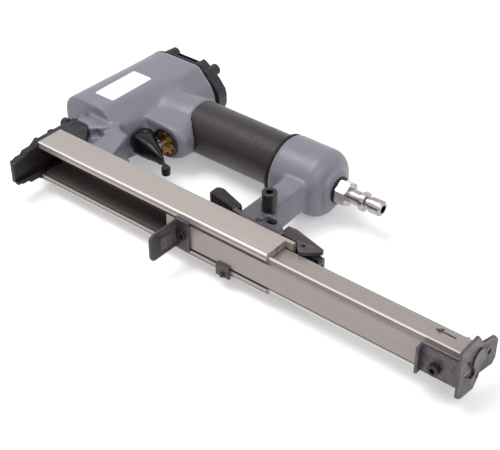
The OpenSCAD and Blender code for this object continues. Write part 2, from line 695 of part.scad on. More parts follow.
// Latch
module latch_lever() {
    color("dimgray") difference() {
        translate([latch_x, latch_y, 0]) {
            along_z(-latch_w / 2, latch_w) polygon([[-32, 3], [-10, -0.7], [-4, -4.4], [4, -6.6], [13, -7.4],
                [45, -7.4], [45.5, 0], [41, 0.6], [28, 3.2], [13, 4.8], [0, 4.4], [-10, 2.3], [-32, 6]]);
            // Cheeks beside the magazine's end, the bridge that joins them and the straps to the pad
            twice_z() along_z(cheek_in, 2.2) polygon([[18, 3.6], [24, 3.8], [45.7, -1.6], [46.4, -3.7],
                [39.4, -10.1], [36, -11.6], [32.4, -7.7], [30, -5], [22, -4.6], [18, -4.6]]);
            along_z(-cheek_in - 1, 2 * cheek_in + 2) polygon([[18.2, 0.8], [37, -1], [37, 0.6], [24, 3.8],
                [18.2, 3.6]]);
            twice_z() along_z(web_half + free_gap, 1.8) polygon([[-15.6, -4.4], [0, -7.3], [20, -7.3],
                [20, -3.4], [17.5, -3.4], [15, -4.7], [0, -4.7], [-15.6, -1.6]]);
        }
        rod_z(latch_x, latch_y, -20, pin_r + run_gap, 40);
        // Hook about the stud's shank and head, and the small hole
        block([catch_x + 2.6, 15, -stud_r - free_gap], [catch_x + 15, stud_y + 1.9, stud_r + free_gap]);
        block([catch_x - 2.6, 15, -stud_head_r - 0.4], [catch_x + 2.7, stud_y + 3.2, stud_head_r + 0.4]);
        rod_z(latch_x + 35, latch_y - 5.7, -20, 1.2, 40);
    }
}
module latch_pad() {
    color("black") translate([latch_x, latch_y, 0]) difference() {
        along_z(-pad_half, 2 * pad_half) polygon(concat([[-37.5, 7.6], [-37.5, 1.4]],
            [for (i = [0 : 9]) each [[-36 + 2 * i, 0.9 - 0.36 * i], [-34.9 + 2 * i, 0.7 - 0.36 * i],
                [-34.9 + 2 * i, 1.5 - 0.36 * i], [-34.2 + 2 * i, 1.3 - 0.36 * i]]],
            [[-14.3, -2.6], [-14.3, 2.4], [-16, 3.6], [-33, 9.2], [-35.6, 9]]));
        along_z(-latch_w / 2 - seat_gap, latch_w + 2 * seat_gap) polygon([[-32.02, -20], [-10, -20],
            [-10, 2.33], [-32.02, 6.03]]);
        // Room for the web and for the straps' ends
        twice_z() block([-15.62, -5, web_half + free_gap - seat_gap], [0, 0, 13]);
    }
}
module latch_pin() {
    color("silver") rod_z(latch_x, latch_y, -web_half, pin_r, 2 * web_half);
}
module latch_spring() {
    color("silver") translate([latch_x - 14, channel_h, 0]) rotate([0, 0, 90])
        spring_wire(latch_y - 0.3 - channel_h, 1.65, 0.35, 4);
}
module end_buffer() {
    color("black") difference() {
        block([rear_end + 7, channel_h, -9], [closed_stop - 0.2, channel_h + 3.9, 9]);
        block([rear_end, channel_h - 1, -latch_w / 2 - free_gap],
            [closed_stop + 1, channel_h + 10, latch_w / 2 + free_gap]);
    }
}

// Magazine slide and its brackets
module slide_section() {
    half = [[slide_base, plate_half], [1.5, plate_half], [1.5, flange_half - 2.2], [1.9, flange_half - 2.2],
        [1.9, flange_half - 1.6], [1.5, flange_half - 1.6], [1.5, flange_half], [2.9, flange_half],
        [2.9, slide_half], [slide_top, slide_half], [slide_top, trough_half], [3, trough_half],
        [3, rail_half], [rail_top, rail_half], [rail_top, rail_half - rail_wall], [3, rail_half - rail_wall]];
    polygon(concat(half, [for (i = [len(half) - 1 : -1 : 0]) [half[i][0], -half[i][1]]]));
}
module magazine_slide() {
    color("rosybrown") difference() {
        union() {
            along_x(drawn, slide_len) slide_section();
            // Rail that runs on ahead of the slide to carry the first staples
            difference() {
                block([drawn - rail_ahead, 3, -rail_half], [drawn + 2, rail_top, rail_half]);
                block([drawn - rail_ahead - 1, 4.5, -rail_half + rail_wall], [drawn, 20, rail_half - rail_wall]);
            }
        }
        rod_x(drawn - 20, rod_y, 0, rod_r + seat_gap, 24);
        // Window near the rear end, on both sides
        twice_z() along_z(slide_half - 2.3, 4) polygon([[286.3, 11.3], [278.4, 11.3], [278.4, 9.2],
            [274.2, 11.9], [278.4, 14.6], [278.4, 12.5], [286.3, 12.5]]);
        rod_y(drawn + 3.5, -3, 0, 1.52, 8);
        rod_y(slide_end - 13, -3, -2, 2.02, 8);
    }
}
module front_bracket() {
    color("black") difference() {
        union() {
            block([drawn - 2, slide_base - bracket_t, -10], [drawn + 8.4, slide_base, 10]);
            along_x(drawn - 2, bracket_t) polygon(concat([[slide_base, -8.8], [slide_base, 8.8]],
                arc(low_y + 3.5, 5.3, 3.5, 90, 180, 5), arc(low_y + 3.5, -5.3, 3.5, 180, 270, 5)));
            block([drawn - 0.6, -16, -4], [drawn + 0.6, -4, 4]);
        }
        rod_y(drawn + 3.5, -3, 0, 1.6, 8);
    }
}
module bracket_screws() {
    color("silver") translate([drawn + 3.5, slide_base - bracket_t, 0]) to_low() cap_screw(3, 1.4, 1.48, 4.6);
}
module end_bracket() {
    color("dimgray") difference() {
        union() {
            along_x(slide_end, bracket_t) polygon([[-4, -12.5], [0, -15.5], [12.5, -17.8], [16.9, -12.5],
                [17, 10], [11.5, 17.6], [-4.2, 17.4]]);
            intersection() {
                along_z(-10.6, 21.2) polygon([[slide_end, 16.9], [slide_end + bracket_t, 16.9],
                    [slide_end + bracket_t + tab_lean, tab_top], [slide_end + tab_lean, tab_top]]);
                along_x(slide_end - 1, 12) polygon([[10, -10.6], [27, -10.6], [29, -7], [29, 5], [26.6, 8.4],
                    [10, 10.2]]);
            }
            block([slide_end - 23, slide_base - 1.6, -8.5], [slide_end + 1, slide_base, 8.5]);
            block([slide_end - 23, -5.4, -8.5], [slide_end - 21.4, slide_base, 8.5]);
            rod_x(slide_end + bracket_t - eps, 13.6, 2.1, 5.6, 0.8);
        }
        along_x(slide_end - 1, 6) polygon([[-0.9, 8.2], [5.1, 6.3], [8.6, -1], [11.3, -3], [11.8, -7.7],
            [8.9, -8.6], [0.8, -2]]);
        along_x(slide_end - 1, 6) polygon([[15, -9], [16.4, -9.4], [15.4, -12.8], [14, -12.4]]);
        rod_y(slide_end - 13, -4, -2, 2.1, 8);
        rod_x(slide_end - 1, stud_y, 0, stud_r + seat_gap, 8);
    }
}
module end_screw() {
    color("silver") translate([slide_end - 13, slide_base - 1.6, -2]) to_low() cap_screw(3.2, 3.4, 2, 5.4);
}
module latch_stud() {
    color("silver") {
        rod_x(slide_end - stud_len + 2, stud_y, 0, stud_r, stud_len);
        translate([slide_end - stud_len, stud_y, 0]) rotate([0, 90, 0])
            cylinder(r1 = 1.2, r2 = stud_head_r, h = 2.4);
        rod_x(slide_end - 1.2, stud_y, 0, 3, 1.6);
    }
}

// Pusher on its rod inside the slide
module rod_anchor() {
    color("silver") difference() {
        union() {
            block([anchor_x, 3, -rail_half + rail_wall + 0.05], [slide_end, rail_top, rail_half - rail_wall - 0.05]);
            block([anchor_x, rail_top + 0.05, -trough_half + 0.05], [slide_end, slide_top, trough_half - 0.05]);
            block([anchor_x, rail_top - 1, -rail_half + rail_wall + 0.05],
                [slide_end, rail_top + 1, rail_half - rail_wall - 0.05]);
            twice_z() block([anchor_x, 3.05, rail_half + 0.05], [slide_end, rail_top + 1, trough_half - 0.05]);
        }
        rod_x(anchor_x - 1, rod_y, 0, rod_r + seat_gap, 9);
    }
}
module pusher() {
    color("silver") difference() {
        union() {
            block([pusher_x, rail_top + 0.3, -trough_half + 0.35],
                [pusher_x + pusher_len, slide_top - 0.2, trough_half - 0.35]);
            block([pusher_x, 5.4, -rail_half + rail_wall + 0.3],
                [pusher_x + pusher_len, rail_top + 1, rail_half - rail_wall - 0.3]);
            twice_z() block([pusher_x, 4, rail_half + 0.2], [pusher_x + pusher_len, rail_top + 1, trough_half - 0.35]);
        }
        rod_x(pusher_x - 1, rod_y, 0, rod_r + run_gap, pusher_len + 2);
    }
}
module pusher_rod() {
    color("silver") rod_x(drawn + 1, rod_y, 0, rod_r, anchor_x + 8 - drawn - 1);
}
module pusher_spring() {
    color("silver") translate([pusher_x + pusher_len + 0.1, rod_y, 0])
        spring_wire(anchor_x - pusher_x - pusher_len - 0.2, 1.85, 0.35, 60);
}

module placed() {
    translate([-mid_x, -mid_y, half_h]) children();
}
placed() housing();
placed() cylinder_cap();
placed() exhaust_deflector();
placed() cap_gasket();
placed() cap_screws();
placed() name_label();
placed() cylinder_sleeve();
placed() sleeve_rings();
placed() piston();
placed() piston_ring();
placed() driver_blade();
placed() bumper();
placed() head_valve();
placed() head_valve_spring();
placed() trigger();
placed() trigger_pin();
placed() trigger_spring();
placed() valve_body();
placed() valve_collar();
placed() valve_stem();
placed() valve_spring();
placed() grip_sleeve();
placed() grip_end_ring();
placed() air_plug();
placed() plug_seal();
placed() rear_bolt();
placed() nose_base();
placed() nose_guide();
placed() nose_front_plate();
placed() nose_clamp_block();
placed() nose_screws();
placed() magazine_channel();
placed() channel_screws();
placed() stop_block();
placed() stop_screw();
placed() latch_lever();
placed() latch_pad();
placed() latch_pin();
placed() latch_spring();
placed() end_buffer();
placed() magazine_slide();
placed() front_bracket();
placed() bracket_screws();
placed() end_bracket();
placed() end_screw();
placed() latch_stud();
placed() rod_anchor();
placed() pusher();
placed() pusher_rod();
placed() pusher_spring();
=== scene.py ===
"""Looks of a pneumatic fine-wire stapler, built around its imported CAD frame."""

import json
import logging
import math
from dataclasses import dataclass
from enum import Enum
from typing import Optional, Sequence, Union

import bmesh
import bpy
from mathutils import Matrix, Vector

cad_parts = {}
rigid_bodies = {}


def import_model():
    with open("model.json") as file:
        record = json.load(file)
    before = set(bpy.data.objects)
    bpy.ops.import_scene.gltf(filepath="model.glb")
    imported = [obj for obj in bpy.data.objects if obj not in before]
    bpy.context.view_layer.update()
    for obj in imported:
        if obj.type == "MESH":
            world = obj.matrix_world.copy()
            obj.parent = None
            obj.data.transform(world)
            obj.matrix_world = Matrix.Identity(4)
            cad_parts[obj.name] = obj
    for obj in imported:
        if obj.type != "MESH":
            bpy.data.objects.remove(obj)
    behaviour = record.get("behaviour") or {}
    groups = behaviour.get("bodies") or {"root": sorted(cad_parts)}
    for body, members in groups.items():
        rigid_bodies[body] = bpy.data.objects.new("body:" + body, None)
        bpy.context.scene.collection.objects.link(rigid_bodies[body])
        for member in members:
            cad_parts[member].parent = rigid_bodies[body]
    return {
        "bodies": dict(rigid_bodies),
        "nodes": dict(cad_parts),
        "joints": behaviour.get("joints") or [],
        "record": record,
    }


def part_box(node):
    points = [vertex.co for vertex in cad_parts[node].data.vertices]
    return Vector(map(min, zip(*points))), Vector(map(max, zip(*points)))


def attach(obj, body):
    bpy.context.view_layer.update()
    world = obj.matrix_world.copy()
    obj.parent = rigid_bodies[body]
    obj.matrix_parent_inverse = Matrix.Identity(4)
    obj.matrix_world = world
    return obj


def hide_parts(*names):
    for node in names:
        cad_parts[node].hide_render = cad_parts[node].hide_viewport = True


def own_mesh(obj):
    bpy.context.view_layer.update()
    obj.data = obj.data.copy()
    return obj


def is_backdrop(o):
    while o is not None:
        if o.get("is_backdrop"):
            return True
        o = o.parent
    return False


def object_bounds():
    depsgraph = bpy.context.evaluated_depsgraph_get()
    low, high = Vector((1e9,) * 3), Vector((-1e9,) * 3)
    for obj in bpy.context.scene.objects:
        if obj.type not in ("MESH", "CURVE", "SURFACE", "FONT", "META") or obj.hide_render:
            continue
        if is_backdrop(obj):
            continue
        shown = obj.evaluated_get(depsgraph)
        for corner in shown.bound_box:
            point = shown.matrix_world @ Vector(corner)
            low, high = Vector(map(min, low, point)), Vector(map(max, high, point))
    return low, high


log = logging.getLogger("stapler")
MM = 0.001
FLAT_ANGLE = 0.5  # degrees, under which two faces of a CAD mesh are one
EDGE_FROM, EDGE_TO = 0.515, 0.58  # Pointiness of a flat, and of a full outer edge
WEAR_PER_METRE = 260.0  # broken patches of wear
ALONG_X, ALONG_Y = (1.0, 0.0, 0.0), (0.0, 1.0, 0.0)
Number = Union[int, float]
Colour = tuple[float, float, float, float]


def paint(code: str) -> Colour:
    """Turns a colour code into a linear colour.

    Args:
        code: Six hexadecimal digits, such as 7f7e8a.

    Returns:
        Red, green, blue and a full alpha.
    """
    values = [int(code[i:i + 2], 16) / 255 for i in (0, 2, 4)]
    linear = [v / 12.92 if v <= 0.04045 else ((v + 0.055) / 1.055) ** 2.4 for v in values]
    return (*linear, 1.0)


class Value:
    """A number that varies over a surface: a socket with Python's operators."""

    def __init__(self, maker: "Nodes", socket: bpy.types.NodeSocket) -> None:
        """Keeps the socket and the node maker that it belongs to."""
        self.maker = maker
        self.socket = socket

    def _math(self, operation: str, *others: "Operand") -> "Value":
        """Adds one Math node for an operation on this value and others."""
        inputs = dict(enumerate((self, *others)))
        return self.maker.value("ShaderNodeMath", {"operation": operation}, inputs)

    def __add__(self, other: "Operand") -> "Value":
        """Sum."""
        return self._math("ADD", other)

    __radd__ = __add__

    def __sub__(self, other: "Operand") -> "Value":
        """Difference."""
        return self._math("SUBTRACT", other)

    def __rsub__(self, other: "Operand") -> "Value":
        """Difference from a number."""
        return (self * -1.0) + other

    def __mul__(self, other: "Operand") -> "Value":
        """Product."""
        return self._math("MULTIPLY", other)

    __rmul__ = __mul__

    def size(self) -> "Value":
        """This value without its sign."""
        return self._math("ABSOLUTE")

    def spread(self, low: Number, high: Number, to_low: Number = 0.0, to_high: Number = 1.0) -> "Value":
        """This value's range from low to high, stretched to another range and held inside it."""
        inputs = {"Value": self, "From Min": low, "From Max": high, "To Min": to_low, "To Max": to_high}
        return self.maker.value("ShaderNodeMapRange", {"clamp": True}, inputs, "Result")


Operand = Union[Value, Number]


class Nodes:
    """Makes the nodes of one material or world."""

    def __init__(self, tree: bpy.types.NodeTree) -> None:
        """Starts from an empty tree."""
        self.tree = tree
        tree.nodes.clear()

    def add(self, kind: str, settings: dict, inputs: dict) -> bpy.types.Node:
        """Adds one node.

        Args:
            kind: Blender's name of the node type.
            settings: The node's own settings, which are set first.
            inputs: A value or link for each input, by name or number.

        Returns:
            The new node.
        """
        node = self.tree.nodes.new(kind)
        for name, value in settings.items():
            setattr(node, name, value)
        for key, value in inputs.items():
            socket = node.inputs[key]
            if isinstance(value, Value):
                self.tree.links.new(value.socket, socket)
            elif isinstance(value, bpy.types.NodeSocket):
                self.tree.links.new(value, socket)
            else:
                socket.default_value = value
        return node

    def value(self, kind: str, settings: dict, inputs: dict, output: Union[int, str] = 0) -> Value:
        """Adds a node and wraps one of its outputs."""
        return Value(self, self.add(kind, settings, inputs).outputs[output])

    def place(self, stretch: Sequence[float] = (1, 1, 1)) -> bpy.types.NodeSocket:
        """Object coordinates in metres, stretched along each axis."""
        source = self.add("ShaderNodeTexCoord", {}, {}).outputs["Object"]
        return self.add("ShaderNodeMapping", {}, {"Vector": source, "Scale": stretch}).outputs[0]

    def noise(self, per_metre: float, detail: float = 3.0, rough: float = 0.5,
              stretch: Sequence[float] = (1, 1, 1)) -> Value:
        """Soft noise from nought to one, with so many lumps a metre."""
        inputs = {"Vector": self.place(stretch), "Scale": per_metre, "Detail": detail, "Roughness": rough}
        return self.value("ShaderNodeTexNoise", {}, inputs)

    def edge(self) -> Value:
        """One on outer edges and nought on flats and in hollows."""
        return self.value("ShaderNodeNewGeometry", {}, {}, "Pointiness").spread(EDGE_FROM, EDGE_TO)

    def height(self, axis: str = "Y") -> Value:
        """Object coordinate along one axis, in metres."""
        source = self.add("ShaderNodeTexCoord", {}, {}).outputs["Object"]
        return self.value("ShaderNodeSeparateXYZ", {}, {0: source}, axis)

    def cells(self, per_metre: float) -> Value:
        """Distance to the nearest of scattered points."""
        inputs = {"Vector": self.place(), "Scale": per_metre}
        return self.value("ShaderNodeTexVoronoi", {}, inputs)

    def blend(self, share: Operand, first: object, second: object) -> bpy.types.NodeSocket:
        """Mix of two colours."""
        inputs = {"Factor": share, 6: first, 7: second}
        return self.add("ShaderNodeMix", {"data_type": "RGBA"}, inputs).outputs[2]

    def bump(self, height: Value, depth: float, strength: float = 1.0,
             under: Optional[bpy.types.NodeSocket] = None) -> bpy.types.NodeSocket:
        """Raises the surface in its normal alone.

        Args:
            height: The pattern of the height.
            depth: What a height of one stands for, in metres.
            strength: How far the new normal counts.
            under: The normal of a broader bump, if there is one.

        Returns:
            The socket of the new normal.
        """
        inputs = {"Height": height, "Distance": depth, "Strength": strength}
        if under is not None:
            inputs["Normal"] = under
        return self.add("ShaderNodeBump", {}, inputs).outputs[0]

    def surface(self, inputs: dict) -> None:
        """Adds the main shader and joins it to the output."""
        shader = self.add("ShaderNodeBsdfPrincipled", {}, inputs).outputs[0]
        self.add("ShaderNodeOutputMaterial", {}, {"Surface": shader})


@dataclass(frozen=True)
class Finish:
    """What every finish has: a colour, a second colour that clouds it, and a gloss."""

    name: str
    colour: str
    cloud: str
    rough: float
    rough_swing: float = 0.08
    cloud_size: float = 25.0
    cloud_amount: float = 0.6
    metal: float = 0.0
    worn: str = ""
    wear: float = 0.5
    specular: float = 0.5

    def material(self) -> bpy.types.Material:
        """Makes the material of the finish, once.

        Returns:
            The material that all pieces with this finish share.
        """
        known = bpy.data.materials.get(self.name)
        if known is not None:
            return known
        made = bpy.data.materials.new(self.name)
        made.use_nodes = True
        self.fill(Nodes(made.node_tree))
        made.diffuse_color = paint(self.colour)
        return made

    def clouded(self, nodes: Nodes) -> bpy.types.NodeSocket:
        """The two colours in soft clouds, rubbed paler along the edges."""
        share = nodes.noise(self.cloud_size, 4.0).spread(0.3, 0.7, 0.0, self.cloud_amount)
        return self.rubbed(nodes, nodes.blend(share, paint(self.colour), paint(self.cloud)))

    def rubbed(self, nodes: Nodes, colour: bpy.types.NodeSocket) -> bpy.types.NodeSocket:
        """Lays the worn colour in broken patches along the outer edges.

        Args:
            nodes: The material's node maker.
            colour: The colour of the sound surface.

        Returns:
            The rubbed colour, or the sound one where the finish doesn't wear.
        """
        if not self.worn:
            return colour
        broken = nodes.noise(WEAR_PER_METRE, 4.0, 0.65).spread(0.35, 0.6, 0.25, 1.0)
        return nodes.blend(nodes.edge() * broken * self.wear, colour, paint(self.worn))

    def gloss(self, nodes: Nodes, per_metre: float = 90.0) -> Value:
        """Roughness with small changes over the surface."""
        low, high = self.rough - self.rough_swing, self.rough + self.rough_swing
        return nodes.noise(per_metre, 5.0, 0.6).spread(0.3, 0.7, low, high)

    def fill(self, nodes: Nodes) -> None:
        """Joins the nodes of the finish."""
        nodes.surface({"Base Color": self.clouded(nodes), "Roughness": self.gloss(nodes),
                       "Metallic": self.metal,
                       "Specular IOR Level": self.specular})


@dataclass(frozen=True)
class CastPaint(Finish):
    """Satin paint over a casting: fine orange peel, and thinner on small rubbed spots."""

    grain: float = 900.0
    grain_depth: float = 0.00006
    coat: float = 0.12
    coat_rough: float = 0.25

    def fill(self, nodes: Nodes) -> None:
        """Joins the nodes of the finish.

        Args:
            nodes: The material's node maker.
        """
        peel = nodes.noise(self.grain, 3.0, 0.55)
        swell = nodes.noise(self.grain / 7, 2.0)
        normal = nodes.bump(peel, self.grain_depth, 0.55, nodes.bump(swell, self.grain_depth * 3, 0.35))
        nodes.surface({"Base Color": self.clouded(nodes), "Roughness": self.gloss(nodes),
                       "Metallic": self.metal,
                       "Coat Weight": self.coat, "Coat Roughness": self.coat_rough, "Normal": normal,
                       "Specular IOR Level": self.specular})


@dataclass(frozen=True)
class RimmedCast(CastPaint):
    """Cast paint that pales towards a machined rim, with painted shade darkening the lower part of the rear
    web.
    """

    rim: str = "9d9aa5"
    rim_share: float = 0.75
    rim_up: tuple[float, float] = (0.0625, 0.0645)
    rim_end: tuple[float, float] = (-0.095, -0.09)
    # painted shade: the dark colour laid on the lower part of the rear web
    foot: str = "3f3d43"
    foot_share: float = 0.75
    foot_up: tuple[float, float] = (-0.018, 0.004)
    foot_start: tuple[float, float] = (-0.03, -0.02)

    def clouded(self, nodes: Nodes) -> bpy.types.NodeSocket:
        """Lays the pale rim, and painted shade on the lower part of the rear web, over the clouded colour.

        Args:
            nodes: The material's node maker.

        Returns:
            The colour of the whole casting.
        """
        share = nodes.height().spread(*self.rim_up, 0.0, self.rim_share)
        ahead = nodes.height("X").spread(*self.rim_end, 1.0, 0.0)
        rimmed = nodes.blend(share * ahead, super().clouded(nodes), paint(self.rim))
        # painted shade: the rear part of the casting darkens towards its bottom, around the web above the
        # magazine
        low = nodes.height().spread(*self.foot_up, self.foot_share, 0.0)
        behind = nodes.height("X").spread(*self.foot_start, 0.0, 1.0)
        return nodes.blend(low * behind, rimmed, paint(self.foot))


@dataclass(frozen=True)
class DrawnMetal(Finish):
    """Metal with fine lines along one direction, as from extruding, rolling or turning."""

    lines: tuple[float, float, float] = (0.02, 1.0, 1.0)
    line_count: float = 2200.0
    line_depth: float = 0.00003

    def fill(self, nodes: Nodes) -> None:
        """Joins the nodes of the finish.

        Args:
            nodes: The material's node maker.
        """
        streak = nodes.noise(self.line_count, 2.0, 0.6, self.lines)
        broad = nodes.noise(self.line_count / 8, 2.0, 0.5, self.lines)
        share = broad.spread(0.35, 0.65, 0.0, self.cloud_amount)
        colour = nodes.blend(share, paint(self.colour), paint(self.cloud))
        rough = self.gloss(nodes) + streak.spread(0.3, 0.7, -0.05, 0.05)
        nodes.surface({"Base Color": self.shaded(nodes, self.rubbed(nodes, colour)), "Roughness": rough,
                       "Metallic": self.metal, "Specular IOR Level": self.specular,
                       "Normal": nodes.bump(streak, self.line_depth, 0.4)})

    def shaded(self, nodes: Nodes, colour: bpy.types.NodeSocket) -> bpy.types.NodeSocket:
        """The colour as it is: a finish of its own may paint shade and highlights into it."""
        return colour


@dataclass(frozen=True)
class Extrusion(DrawnMetal):
    """Drawn metal with painted shade in the trough between its inner walls, and a painted highlight along its
    two long outer edges.
    """

    # painted shade: the dark colour of the trough between the inner walls
    inside: str = "5e5755"
    # painted highlight: the pale colour along the two long outer edges
    bright: str = "f4f0ee"
    middle: float = 0.0225
    half: float = 0.0096
    depth: float = -0.0393
    edge_up: float = -0.0553
    edge_out: float = 0.0133
    fade: float = 0.0002
    wide_fade: float = 0.0003
    inside_share: float = 0.85
    bright_share: float = 0.8

    def shaded(self, nodes: Nodes, colour: bpy.types.NodeSocket) -> bpy.types.NodeSocket:
        """Paints shade into the trough between the inner walls, and a highlight along the two long outer
        edges.

        Args:
            nodes: The material's node maker.
            colour: The colour of the drawn metal.

        Returns:
            The colour of the whole extrusion.
        """
        out = (nodes.height("Z") - self.middle).size()
        across = out.spread(self.half, self.half + self.fade, 1.0, 0.0)
        up = nodes.height().spread(self.depth - self.wide_fade, self.depth, 1.0, 0.0)
        corner = (out.spread(self.edge_out - self.wide_fade, self.edge_out, 0.0, 1.0)
                  * nodes.height().spread(self.edge_up - self.fade, self.edge_up, 1.0, 0.0))
        # painted shade inside the trough between the inner walls
        trough_shaded = nodes.blend(across * up * self.inside_share, colour, paint(self.inside))
        # painted highlight along the two long outer edges
        return nodes.blend(corner * self.bright_share, trough_shaded, paint(self.bright))


@dataclass(frozen=True)
class Rubber(Finish):
    """Moulded rubber or soft plastic: a fine pebbled grain and a dusty sheen."""

    grain: float = 1500.0
    grain_depth: float = 0.0001
    sheen: float = 0.25

    def fill(self, nodes: Nodes) -> None:
        """Joins the nodes of the finish.

        Args:
            nodes: The material's node maker.
        """
        pebble = nodes.cells(self.grain).spread(0.0, 0.8)
        fine = nodes.noise(self.grain * 2, 2.0)
        normal = nodes.bump(pebble + fine * 0.4, self.grain_depth, 0.6)
        nodes.surface({"Base Color": self.clouded(nodes), "Roughness": self.gloss(nodes),
                       "Sheen Weight": self.sheen, "Sheen Roughness": 0.5, "Normal": normal,
                       "Specular IOR Level": self.specular})


class Slot(Enum):
    """The record's material slots, each with its finish."""

    cast_grey = RimmedCast("grey_satin_casting", "777581", "83808c", 0.38, cloud_size=18.0, worn="a29fa8",
                           wear=0.35)
    black_cast = CastPaint("black_satin_cap", "1c161b", "271f26", 0.38, worn="504d52", wear=0.35,
                          specular=0.3)
    black_steel = DrawnMetal("black_finished_steel", "1a1419", "251d24", 0.4, metal=0.15, lines=(1, 0.05, 1),
                             cloud_amount=0.4, worn="5a5759", wear=0.35, specular=0.3)
    dark_sheet = DrawnMetal("dark_grey_pressed_sheet", "3c343a", "463c42", 0.4, metal=0.3, lines=(1, 1, 0.05),
                            cloud_amount=0.35, worn="858085", wear=0.4, specular=0.4)
    screw_black = DrawnMetal("black_screw_oxide", "1e191d", "2c262a", 0.32, metal=0.35, lines=(1, 1, 1),
                             worn="6a676a", wear=0.4, specular=0.35)
    steel = DrawnMetal("bright_steel", "aeacad", "868384", 0.25, metal=1.0, lines=(1, 0.05, 1))
    chrome = DrawnMetal("nickel_plate", "b6b1b0", "8c8685", 0.2, metal=1.0, lines=(0.6, 0.6, 0.6),
                        rough_swing=0.04, line_depth=0.00002)
    brass = DrawnMetal("turned_brass", "b58c48", "6b4c22", 0.3, metal=1.0, lines=(1, 0.05, 1),
                       cloud_amount=0.8)
    champagne = DrawnMetal("champagne_anodised", "9f9692", "948b88", 0.38, metal=0.5, rough_swing=0.02,
                           cloud_amount=0.3, lines=(0.01, 1.0, 1.0), line_count=3500.0)
    cast_alloy = CastPaint("bare_cast_alloy", "8d8a8c", "9c999a", 0.45, metal=1.0)
    grip_rubber = Rubber("grip_sleeve_rubber", "271e23", "362a30", 0.36, sheen=0.08, specular=0.36,
                         grain=1100.0, grain_depth=0.00018)
    seal_rubber = Rubber("black_seal_rubber", "100e10", "171518", 0.55, sheen=0.05, specular=0.3)
    black_gloss = CastPaint("glossy_black_trigger", "070609", "0c0b0e", 0.2, rough_swing=0.03, grain=300.0,
                            grain_depth=0.00002, coat=0.0, specular=0.28)
    black_matte = Rubber("matte_black_pad", "171216", "211a1f", 0.5, sheen=0.05, specular=0.3)
    label_white = CastPaint("blank_white_label", "f1eff2", "e8e6ea", 0.32, grain=1500.0, grain_depth=0.00002)


# The channel's finish paints shade into its trough and a highlight along its outer lips.
CHANNEL = Extrusion("champagne_channel", "b0a6a2", "a39995", 0.36, metal=0.5, rough_swing=0.02,
                    cloud_amount=0.3, lines=(0.01, 1.0, 1.0), line_count=3500.0)
# The slide's finish paints a highlight along its outer edges; its half and depth leave out the trough's
# painted shade.
SLIDE = Extrusion("champagne_slide", "9f9692", "948b88", 0.36, metal=0.5, rough_swing=0.02, cloud_amount=0.3,
                  lines=(0.01, 1.0, 1.0), line_count=3500.0, edge_up=-0.0538, edge_out=0.0109,
                  half=0.0, depth=-1.0)
BRACKET = DrawnMetal("blackened_bracket_steel", "383337", "443f43", 0.42, metal=0.2, lines=(1, 0.05, 1),
                     cloud_amount=0.4, worn="77727a", wear=0.5, specular=0.4)
DULL_STEEL = DrawnMetal("dull_dark_steel", "4a474a", "373437", 0.32, metal=0.8, lines=(1, 1, 1))


class Tool:
    """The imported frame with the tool's own measuring places."""

    def __init__(self) -> None:
        """Loads the frame and finds its zero: front, open side and middle of the magazine channel."""
        self.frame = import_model()
        self.cad_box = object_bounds()
        low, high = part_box("magazine_channel")
        self.zero = Vector((low.x, low.y, (low.z + high.z) / 2))
        self.slots = {part["node"]: part["material_slot"] for part in self.frame["record"]["subparts"]}
        self.bodies = {node: body for body, members in self._groups().items() for node in members}

    def _groups(self) -> dict[str, list[str]]:
        """Nodes of each body, from the record."""
        return self.frame["record"]["behaviour"]["bodies"]

    def at(self, x: float, y: float, z: float) -> Vector:
        """Place in the row frame of a point that is given in the tool's own millimetres."""
        return self.zero + Vector((x, y, z)) * MM

    def paint_nodes(self) -> None:
        """Gives every CAD node the finish of its slot."""
        for name, node in self.frame["nodes"].items():
            material = Slot[self.slots[name]].value.material()
            for slot in node.material_slots:
                slot.material = material
            if not node.material_slots:
                node.data.materials.append(material)

    def finish_piece(self, name: str, mesh: bpy.types.Mesh, node: str, stands_for: Sequence[str] = (),
                     finish: Optional[Finish] = None) -> bpy.types.Object:
        """Makes an object of a mesh, which rides on a node's body.

        Args:
            name: The new piece's name.
            mesh: Its mesh, in the row frame.
            node: The CAD node whose body carries it.
            stands_for: The CAD nodes that it replaces.
            finish: Its finish, where it isn't the slot's own.

        Returns:
            The new object.
        """
        piece = bpy.data.objects.new(name, mesh)
        bpy.context.scene.collection.objects.link(piece)
        mesh.materials.clear()
        mesh.materials.append((finish or Slot[self.slots[node]].value).material())
        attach(piece, self.bodies[node])
        if stands_for:
            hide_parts(*stands_for)
        log.info("%s rides on %s, %d faces", name, self.bodies[node], len(mesh.polygons))
        return piece

    def copy_mesh(self, node: str, tolerance: float = 0.002 * MM) -> bmesh.types.BMesh:
        """Copies a CAD node's mesh, with its doubles merged and its flat faces joined.

        Args:
            node: The node's name.
            tolerance: How far apart merged vertices are at most, in metres.

        Returns:
            The copy.
        """
        shape = bmesh.new()
        shape.from_mesh(self.frame["nodes"][node].data)
        bmesh.ops.remove_doubles(shape, verts=shape.verts, dist=tolerance)
        bmesh.ops.dissolve_limit(shape, angle_limit=math.radians(FLAT_ANGLE), verts=shape.verts,
                                 edges=shape.edges)
        return shape


def to_mesh(name: str, shape: bmesh.types.BMesh, crease: float = 32.0) -> bpy.types.Mesh:
    """Turns a bmesh into a smoothly shaded mesh, and frees it.

    Args:
        name: The mesh's name.
        shape: The bmesh.
        crease: The angle in degrees from which an edge stays sharp.

    Returns:
        The mesh.
    """
    mesh = bpy.data.meshes.new(name)
    shape.to_mesh(mesh)
    shape.free()
    mesh.shade_smooth()
    mesh.set_sharp_from_angle(angle=math.radians(crease))
    return mesh


